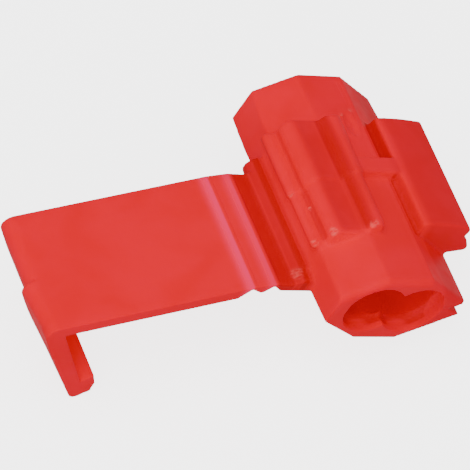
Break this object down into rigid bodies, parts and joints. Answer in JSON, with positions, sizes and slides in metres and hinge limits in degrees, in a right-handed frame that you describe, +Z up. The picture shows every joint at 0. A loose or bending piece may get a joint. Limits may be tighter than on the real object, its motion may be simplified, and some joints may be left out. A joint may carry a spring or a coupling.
{
  "type": "t-tap connector",
  "caption": "Open snap-lock T-tap wire splice: ribbed housing with wire bores, strap cover on living hinges with a latch hook, and a forked metal contact.",
  "frame": {"origin": "centre of the bounding box's bottom face, on the surface that the open connector lies on", "axes": "+X from the latch hook towards the wing on the housing, +Y along the bores away from the near mouth, +Z up; the housing is turned 23.79 degrees about Y from upright because the open connector lies on its hook and on its contact"},
  "size_m": [0.0324, 0.0186, 0.0102],
  "materials": {
    "red_plastic": "semi-gloss moulded polypropylene, slightly translucent",
    "tinned_brass": "bright tin plating on brass strip"
  },
  "bodies": {
    "housing": {"housing": "red_plastic"},
    "hinge_link": {"hinge_link": "red_plastic"},
    "cover": {"cover": "red_plastic"},
    "contact": {"contact": "tinned_brass"}
  },
  "joints": [
    {"name": "link_hinge", "type": "hinge", "parent": "housing", "child": "hinge_link", "pos_m": [0.00069, -0.0014, 0.00753], "axis": [0, -1, 0], "range_deg": [0, 62]},
    {"name": "cover_hinge", "type": "hinge", "parent": "hinge_link", "child": "cover", "pos_m": [-0.00093, -0.0014, 0.00784], "axis": [0, -1, 0], "range_deg": [0, 62]},
    {"name": "contact_press", "type": "slide", "parent": "housing", "child": "contact", "axis": [0.4033, 0, 0.9151], "range_m": [0, 0.0013]}
  ]
}
